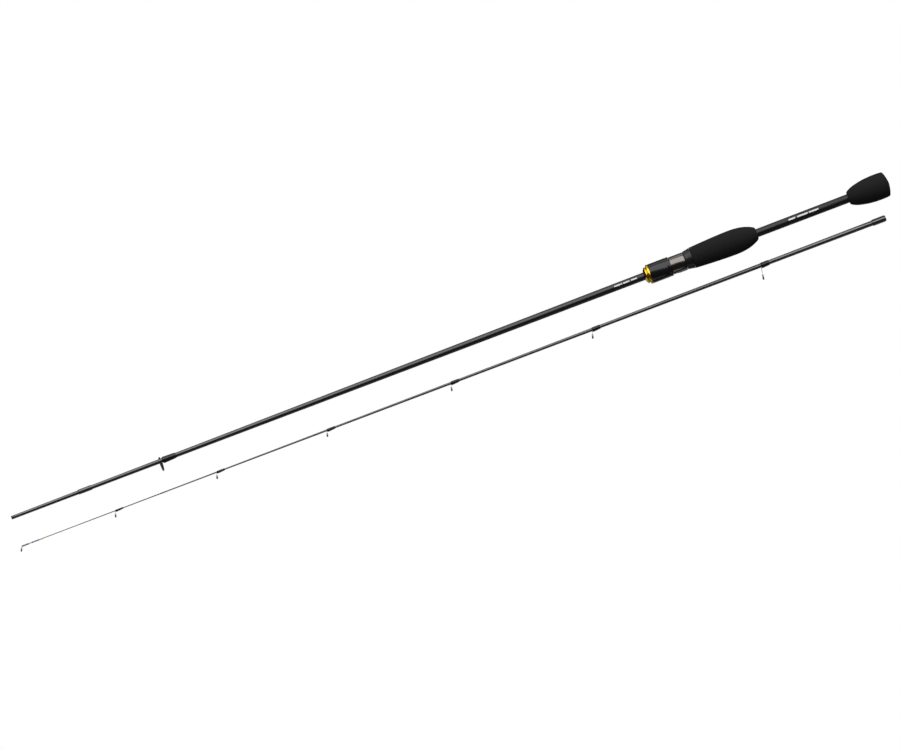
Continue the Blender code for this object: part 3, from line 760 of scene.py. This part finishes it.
def tip_top_pieces(looks):
    """Tube with a domed end, a leaning collar on two short legs, and its ring."""
    collar = 2.25
    hole = 1.8
    _axis_x, centre, leaning, onto_ring = guide_place(0.3, 3.4, math.radians(30.0))

    outline = teardrop(0.6, 0.3, centre, collar - 0.12)
    frame_mesh = plate(outline, (ring_outline(centre, (hole + collar) / 2, 40),), 0.6)
    frame_mesh.transform(leaning)
    frame_piece = make_object("tip_top_legs", frame_mesh, TIP)
    collar_mesh = turned(collar_profile(hole, collar, 1.4), 48)
    collar_mesh.transform(onto_ring)
    combine(frame_piece, collar_mesh, "UNION", TIP)
    tube = rounded(((1.7, 0.12), (1.8, 0.42), (2.2, 0.7), (2.9, 0.85), (3.9, 0.87)), 4)
    tube += [(10.2, 0.87), (10.4, 0.8)]
    combine(frame_piece, turned(tube, 40, closed=False), "UNION", TIP)
    bore = turned(((4.5, 0.56), (11.5, 0.56)), 32, closed=False)
    combine(frame_piece, bore, "DIFFERENCE", TIP)
    soften(frame_piece, 0.05)
    add_piece(frame_piece, "tip_section", looks["guide_metal"], "tip_top_frame")

    ring_mesh = turned(ring_profile(0.85, 1.47, 0.27, 1.0), 56)
    ring_mesh.transform(onto_ring)
    ring = make_object("tip_top_insert", ring_mesh, TIP, sharp=60.0)
    add_piece(ring, "tip_section", looks["guide_ceramic"], "tip_top_ring")


# Handle

# Outside of the foam grip, (forward from the butt end, radius).
GRIP_OUTSIDE = (
    (GRIP_FRONT - 0.25, 11.93), (225.0, 12.4), (213.0, 13.1), (200.0, 13.7), (190.0, 14.0),
    (182.0, 13.95), (176.5, 13.5), (171.5, 12.8), (166.5, 11.5), (161.5, 9.6), (158.2, 7.9),
    (157.0, 7.0),
)


def grip_piece():
    """Foam sleeve, cut open under the platform."""
    outer = [(GRIP_FRONT, 11.5), (GRIP_FRONT, 11.75)] + rounded(GRIP_OUTSIDE, 5)
    outer += [(GRIP_REAR + 0.3, 6.5), (GRIP_REAR, 6.0)]
    inner = [(GRIP_REAR, 5.2), (159.4, 5.2), (159.4, 7.0), (165.0, 8.0), (178.0, 10.4),
             (190.0, 11.0), (213.0, 10.1), (GRIP_FRONT, 8.9)]
    grip = make_object("palm_grip_foam", turned(from_butt(outer + inner), 96), BUTT)
    opening = block(
        (BUTT_LENGTH - GRIP_FRONT - 1, -20, -20),
        (BUTT_LENGTH - FIXED_HOOD_MOUTH, 20, -PLATFORM_DEPTH - 0.02),
    )
    combine(grip, opening, "DIFFERENCE", BUTT)
    pocket = arched_block(
        BUTT_LENGTH - FIXED_HOOD_MOUTH - 2, BUTT_LENGTH - FIXED_HOOD_REAR + 0.3,
        FIXED_HOOD_RADIUS + 0.3, PLATFORM_DEPTH + 0.02,
    )
    combine(grip, pocket, "DIFFERENCE", BUTT)
    return grip


def knob_piece():
    """Bullet-shaped foam knob with a domed end."""
    side = rounded(
        ((47.9, 6.9), (47.2, 7.6), (45.0, 9.0), (41.0, 10.7), (36.0, 12.1), (30.0, 13.3),
         (24.0, 14.1), (17.5, 14.5), (11.0, 14.56), (5.4, 14.22), (3.6, 13.6), (2.6, 12.2),
         (1.0, 7.0), (0.25, 3.0), (0.0, 0.6)), 5)
    profile = [(BLANK_END - 1.0, 5.2), (KNOB_FRONT, 5.2), (KNOB_FRONT, 6.4)] + side
    return make_object("butt_knob_foam", turned(from_butt(profile), 96, closed=False), BUTT)


def screw_rod(x0, x1):
    """Round rod with a right-hand trapezoidal thread, trimmed flat at x0 and x1."""
    steps = 72
    ridge = ((0.10, THREAD_ROOT), (0.28, THREAD_CREST), (0.50, THREAD_CREST), (0.68, THREAD_ROOT))
    turns = math.ceil((x1 - x0) / PITCH) + 2
    last = turns * steps
    start = (math.floor(x0 / PITCH) - 1) * PITCH
    bm = bmesh.new()
    grid = {}

    def vertex(step, point):
        offset, radius = ridge[point]
        angle = 2 * math.pi * step / steps
        x = start + PITCH * (step / steps + offset)
        grid[step, point] = bm.verts.new((x, radius * math.cos(angle), radius * math.sin(angle)))

    for step in range(last + 1):
        for point in range(4):
            vertex(step, point)
    for step in range(last + 1, last + steps + 1):
        vertex(step, 0)

    def corner(step, point):
        return grid[step + steps, 0] if point == 4 else grid[step, point]

    for step in range(last):
        for point in range(4):
            bm.faces.new((corner(step, point), corner(step + 1, point),
                          corner(step + 1, point + 1), corner(step, point + 1)))
    for first in (0, last):
        rim = [grid[first + k, 0] for k in range(steps + 1)]
        rim += [grid[first, 3], grid[first, 2], grid[first, 1]]
        hub = bm.verts.new((rim[0].co.x + PITCH / 2, 0.0, 0.0))
        for a, b in zip(rim, rim[1:] + rim[:1]):
            bm.faces.new((hub, a, b))
    for end, normal in ((x0, -1.0), (x1, 1.0)):
        cut = bmesh.ops.bisect_plane(
            bm, geom=bm.verts[:] + bm.edges[:] + bm.faces[:], dist=1e-5,
            plane_co=(end, 0.0, 0.0), plane_no=(normal, 0.0, 0.0), clear_outer=True)
        edges = [e for e in cut["geom_cut"] if isinstance(e, bmesh.types.BMEdge)]
        bmesh.ops.edgeloop_fill(bm, edges=edges)
    bmesh.ops.recalc_face_normals(bm, faces=bm.faces)
    return bm


def seat_piece():
    """Moulded reel holder: threaded barrel, flared collar with a groove, and platform."""
    core = [
        (BARREL_FRONT, 6.4), (BARREL_FRONT - 0.2, 6.6), (244.6, 6.6), (243.4, 6.9), (242.6, 7.4),
        (COLLAR_FRONT, 7.4), (COLLAR_FRONT, 9.9), (COLLAR_FRONT - 0.12, 10.1),
        (COLLAR_FRONT - 0.6, 10.35), (239.0, 10.6), (236.0, 11.05), (234.4, 11.45),
        (233.5, 11.68), (233.0, 11.72), (232.85, 11.6), (232.8, 8.6), (213.0, 9.8),
        (190.0, 10.7), (178.0, 10.1), (165.0, 7.7), (159.8, 6.7), (159.8, SEAT_BORE),
        (BARREL_FRONT, SEAT_BORE),
    ]
    body = make_object("reel_seat_moulding", turned(from_butt(core), 72), BUTT)
    thread = screw_rod(BUTT_LENGTH - BARREL_FRONT, BUTT_LENGTH - 249.0)
    combine(body, thread, "UNION", BUTT)
    bore = turned(from_butt(((290, SEAT_BORE), (240, SEAT_BORE))), 72, closed=False)
    combine(body, bore, "DIFFERENCE", BUTT)
    levels = (
        (BARREL_FRONT + 2, COLLAR_FRONT - 0.3, 6.5),
        (COLLAR_FRONT - 0.3, FIXED_HOOD_MOUTH + 0.1, PLATFORM_DEPTH),
        (FIXED_HOOD_MOUTH + 0.1, FIXED_HOOD_REAR - 0.5, 6.4),
    )
    for front, rear, depth in levels:
        cut = block((BUTT_LENGTH - front, -20, -20), (BUTT_LENGTH - rear, 20, -depth))
        combine(body, cut, "DIFFERENCE", BUTT)
    return body


def hood_loop(x, radius, weight):
    """Round loop whose lower half swells and squares off over the reel foot."""
    count = 96
    points = []
    for k in range(count):
        a = 2 * math.pi * k / count
        y = math.sin(a)
        z = math.cos(a)
        if z < 0:
            power = 1 - 0.36 * weight
            y = math.copysign(abs(y) ** power, y)
            z = -abs(z) ** power * (1 + HOOD_BULGE * weight / radius)
        points.append((x, radius * y, radius * z))
    return points


def hood_swell(x_start, radius, steps):
    """Stations (x, radius, weight) along the sleeve's eased change from round to swollen."""
    shares = [k / 8 for k in steps]
    return [(x_start + 5.2 * s, radius, s * s * (3 - 2 * s)) for s in shares]


def hood_piece():
    """Thin metal sleeve, its rear edge rolled and its front lip turned in over the nut."""
    front = BUTT_LENGTH - HOOD_FRONT
    rear = BUTT_LENGTH - HOOD_REAR
    wall = 0.6
    stations = [
        (front, 8.8, 0.0), (front, HOOD_RADIUS - 0.45, 0.0),
        (front + 0.08, HOOD_RADIUS - 0.2, 0.0), (front + 0.35, HOOD_RADIUS, 0.0),
        (front + 1.6, HOOD_RADIUS, 0.02),
    ]
    stations += hood_swell(front + 2.4, HOOD_RADIUS, range(9))
    stations += [
        (rear - 0.35, HOOD_RADIUS, 1.0), (rear - 0.08, HOOD_RADIUS - 0.12, 1.0),
        (rear, HOOD_RADIUS - 0.3, 1.0), (rear - 0.1, HOOD_RADIUS - wall + 0.08, 1.0),
        (rear - 0.4, HOOD_RADIUS - wall, 1.0),
    ]
    stations += hood_swell(front + 2.4, HOOD_RADIUS - wall, range(8, -1, -2))
    stations += [(front + 0.7, HOOD_RADIUS - wall, 0.0), (front + 0.7, 8.8, 0.0)]
    loops = [hood_loop(*station) for station in stations]
    return make_object("hood_sleeve", skin(loops, True), BUTT)


def nut_piece():
    """Locking nut: smooth barrel with two shallow grooves and a rounded front edge."""
    profile = [
        (NUT_FRONT, 8.3), (NUT_FRONT, NUT_RADIUS - 0.5), (NUT_FRONT - 0.1, NUT_RADIUS - 0.2),
        (NUT_FRONT - 0.5, NUT_RADIUS), (262.2, NUT_RADIUS), (261.9, NUT_RADIUS - 0.16),
        (261.5, NUT_RADIUS - 0.16), (261.2, NUT_RADIUS - 0.02), (NUT_REAR + 0.7, NUT_RADIUS - 0.04),
        (NUT_REAR + 0.2, NUT_RADIUS - 0.25), (NUT_REAR, NUT_RADIUS - 0.6), (NUT_REAR, 8.5),
        (257.0, 8.5), (257.0, 9.05), (255.9, 9.05), (255.9, 7.95), (272.0, 7.95), (272.4, 8.3),
    ]
    return make_object("locking_nut_barrel", turned(from_butt(profile), 96), BUTT)


def trim_ring_piece():
    """Gold-coloured double ridge and front cone."""
    rear_ridge = [(NUT_FRONT + 0.2, 10.4), (NUT_FRONT + 0.3, 10.75), (NUT_FRONT + 0.65, 10.97),
                  (283.4, 11.0), (284.0, 10.98), (284.5, 10.82), (284.85, 10.4)]
    groove = [(285.0, 9.1), (285.15, 8.6), (285.5, 8.5), (285.75, 8.72)]
    front_ridge = [(285.95, 9.02), (286.3, 9.2), (286.7, 9.25), (287.1, 9.16), (287.5, 8.9)]
    cone = [(287.8, 8.35), (288.4, 7.4), (288.8, 6.7), (289.15, 6.0), (TRIM_FRONT, 5.4),
            (TRIM_FRONT, 4.85), (280.6, 4.85), (280.6, 8.1), (NUT_FRONT + 0.2, 8.1)]
    profile = rear_ridge + groove + front_ridge + cone
    return make_object("nut_trim_double_ring", turned(from_butt(profile), 96), BUTT)


# Putting the pieces on the frame

def make_looks():
    return {
        "butt_carbon": carbon_material("butt_carbon", BUTT, (1.0, 0.0), 0.012, 0.16, DASHES),
        "tip_carbon": carbon_material("tip_carbon", TIP, (1.0, 1.0), 0.002, 0.26),
        "butt_thread": thread_material("butt_thread", BUTT, (0.005, 0.005, 0.006)),
        "tip_thread": thread_material("tip_thread", TIP, (0.005, 0.005, 0.006)),
        "butt_ferrule": thread_material("butt_ferrule_thread", BUTT, (0.008, 0.008, 0.009),
                                        1.0, 2.0),
        "tip_ferrule": thread_material("tip_ferrule_thread", TIP, (0.008, 0.008, 0.009),
                                       1.0, 2.1),
        "band_dark": thread_material("band_dark_thread", TIP, (0.05, 0.05, 0.055)),
        "band_blue": thread_material("band_blue_thread", TIP, (0.33, 0.40, 0.68)),
        "band_yellow": thread_material("band_yellow_thread", TIP, (0.95, 0.98, 0.45)),
        "eva": eva_material("eva_foam", BUTT),
        "moulding": moulded_material("seat_nylon", BUTT, (0.008, 0.008, 0.009), 0.30, 0.40, 0.004),
        "nut": moulded_material("nut_nylon", BUTT, (0.006, 0.006, 0.008), 0.20, 0.26, 0.002),
        "sleeve": metal_material("sleeve_steel", BUTT, (0.21, 0.19, 0.175), 0.17, 0.25, 0.001),
        "gold": metal_material("gold_anodised", BUTT, (0.98, 0.68, 0.045), 0.2, 0.23, 0.0),
        "butt_guide_metal": metal_material("butt_guide_steel", BUTT, (0.24, 0.24, 0.25),
                                           0.16, 0.30),
        "tip_guide_metal": metal_material("tip_guide_steel", TIP, (0.24, 0.24, 0.25),
                                          0.16, 0.30),
        "butt_ceramic": ceramic_material("butt_guide_ceramic", BUTT),
        "tip_ceramic": ceramic_material("tip_guide_ceramic", TIP),
        "cork": cork_material("arbor_cork", BUTT),
    }


def keep_node(name, material):
    """A CAD node that shows as it is, with a finished material."""
    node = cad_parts[name]
    node.data.materials.clear()
    node.data.materials.append(material)


def build_butt_section(looks):
    body = "butt_section"
    add_piece(butt_blank_piece(), body, looks["butt_carbon"], "butt_blank")
    binding = binding_piece("butt_ferrule_binding", BUTT_TAPER, MALE_DEPTH, 95.0, 0.5, BUTT)
    add_piece(binding, body, looks["butt_ferrule"], "butt_ferrule_wrap")
    guide_looks = {
        "guide_metal": looks["butt_guide_metal"],
        "guide_ceramic": looks["butt_ceramic"],
        "thread": looks["butt_thread"],
    }
    guide_pieces("stripper", STRIPPER, LARGE_GUIDE, BUTT_TAPER, BUTT, body, guide_looks)
    add_piece(seat_piece(), body, looks["moulding"], "reel_seat_body")
    foam = add_piece(grip_piece(), body, looks["eva"], "palm_grip")
    knob = add_piece(knob_piece(), body, looks["eva"], "butt_knob")
    keep_node("fixed_hood", looks["moulding"])
    for number in (1, 2, 3):
        keep_node(f"seat_arbor_{number}", looks["cork"])


def build_hood_and_nut(looks):
    add_piece(hood_piece(), "hood", looks["sleeve"], "hood_shell")
    keep_node("hood_liner", looks["moulding"])
    add_piece(nut_piece(), "nut", looks["nut"], "locking_nut")
    add_piece(trim_ring_piece(), "nut", looks["gold"], "nut_trim_ring")


def build_tip_section(looks):
    body = "tip_section"
    add_piece(tip_blank_piece(), body, looks["tip_carbon"], "tip_blank")
    add_piece(solid_tip_piece(), body, looks["tip_carbon"], "solid_tip")
    binding = binding_piece("tip_ferrule_binding", TIP_TAPER, TIP_LENGTH - 16.0,
                            TIP_LENGTH - 1.0, 0.62, TIP)
    add_piece(binding, body, looks["tip_ferrule"], "tip_ferrule_wrap")
    guide_looks = {
        "guide_metal": looks["tip_guide_metal"],
        "guide_ceramic": looks["tip_ceramic"],
        "thread": looks["tip_thread"],
    }
    for number, spec in enumerate(TIP_GUIDES, 1):
        guide_pieces(f"guide_{number}", spec, SMALL_GUIDE, TIP_TAPER, TIP, body, guide_looks)
    tip_top_pieces(guide_looks)
    bands = (
        ("tip_band_dark", 14.0, 16.0),
        ("tip_band_blue", 17.0, 23.0),
        ("tip_band_yellow", 24.0, 27.4),
    )
    for name, x0, x1 in bands:
        band = binding_piece(f"{name}_turns", TIP_TAPER, x0, x1, 0.35, TIP, 32, 0.2)
        slot = name.replace("tip_", "")
        add_piece(band, body, looks[slot], name)


# Floor, light and camera

IMAGE_TURN = math.radians(-20.9)
VIEW_WIDTH = 0.9945
CAMERA_DISTANCE = 28.0
SENSOR = 36.0
FLOOR_REACH = 12.0
FLOOR_GAP = 0.0003
# Middle of the view: this far along the butt section, and across from its axis to the tip section.
VIEW_X = 509.0
VIEW_ACROSS = 25.4


def add_floor():
    """White floor that neither lights the rod nor shows in it, and takes no shadow."""
    mesh = bpy.data.meshes.new("floor")
    signs = ((-1, -1), (1, -1), (1, 1), (-1, 1))
    corners = [(x * FLOOR_REACH, y * FLOOR_REACH, 0.0) for x, y in signs]
    mesh.from_pydata(corners, [], [(0, 1, 2, 3)])
    floor = bpy.data.objects.new("floor", mesh)
    bpy.context.scene.collection.objects.link(floor)
    floor.location.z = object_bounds()[0][2] - FLOOR_GAP
    s = Shader("floor_white", (0.0, 0.0, 0.0), 1.0, specular=0.0)
    s.base.inputs["Emission Color"].default_value = (1.0, 1.0, 1.0, 1.0)
    s.base.inputs["Emission Strength"].default_value = 1.0
    mesh.materials.append(s.material)
    floor.visible_diffuse = False
    floor.visible_glossy = False
    floor.visible_shadow = False


def add_softbox(name, side, elevation, distance, size, radiance):
    """Rectangle facing the rod from a horizontal side and an elevation in degrees."""
    light = bpy.data.lights.new(name, "AREA")
    light.shape = "RECTANGLE"
    light.size, light.size_y = size
    light.energy = radiance * math.pi * size[0] * size[1]
    obj = bpy.data.objects.new(name, light)
    bpy.context.scene.collection.objects.link(obj)
    rise = math.radians(elevation)
    obj.location = (side * math.cos(rise) + Vector((0.0, 0.0, math.sin(rise)))) * distance
    obj.rotation_euler = (-obj.location).to_track_quat("-Z", "Y").to_euler()
    obj.visible_camera = False


def add_lights():
    behind = Vector((-math.sin(IMAGE_TURN), math.cos(IMAGE_TURN), 0.0))
    add_softbox("key_softbox", behind, 42.0, 2.0, (4.2, 2.5), 2.1)
    add_softbox("low_card", behind, -14.0, 1.5, (3.4, 0.8), 0.8)
    add_softbox("front_fill", -behind, 9.0, 2.0, (3.0, 0.35), 0.9)
    add_softbox("front_card", -behind, -50.0, 1.5, (3.4, 0.8), 0.5)
    world = bpy.data.worlds.new("studio")
    bpy.context.scene.world = world
    world.use_nodes = True
    background = world.node_tree.nodes["Background"]
    background.inputs["Color"].default_value = (1.0, 1.0, 1.0, 1.0)
    background.inputs["Strength"].default_value = 0.035


def add_camera():
    """Camera straight above, turned in its own plane as the photographed rod lies."""
    across = Vector((0.0, -VIEW_ACROSS * MM, 0.0))
    middle = BUTT @ Vector((VIEW_X * MM, 0.0, 0.0)) + across
    data = bpy.data.cameras.new("camera")
    data.sensor_width = SENSOR
    data.lens = SENSOR * CAMERA_DISTANCE / VIEW_WIDTH
    data.clip_end = 100.0
    camera = bpy.data.objects.new("camera", data)
    bpy.context.scene.collection.objects.link(camera)
    camera.location = (middle.x, middle.y, middle.z + CAMERA_DISTANCE)
    camera.rotation_euler = (0.0, 0.0, IMAGE_TURN)
    bpy.context.scene.camera = camera


def main():
    looks = make_looks()
    build_butt_section(looks)
    build_hood_and_nut(looks)
    build_tip_section(looks)
    add_floor()
    add_lights()
    add_camera()
    bpy.context.scene.view_settings.view_transform = "Standard"


main()
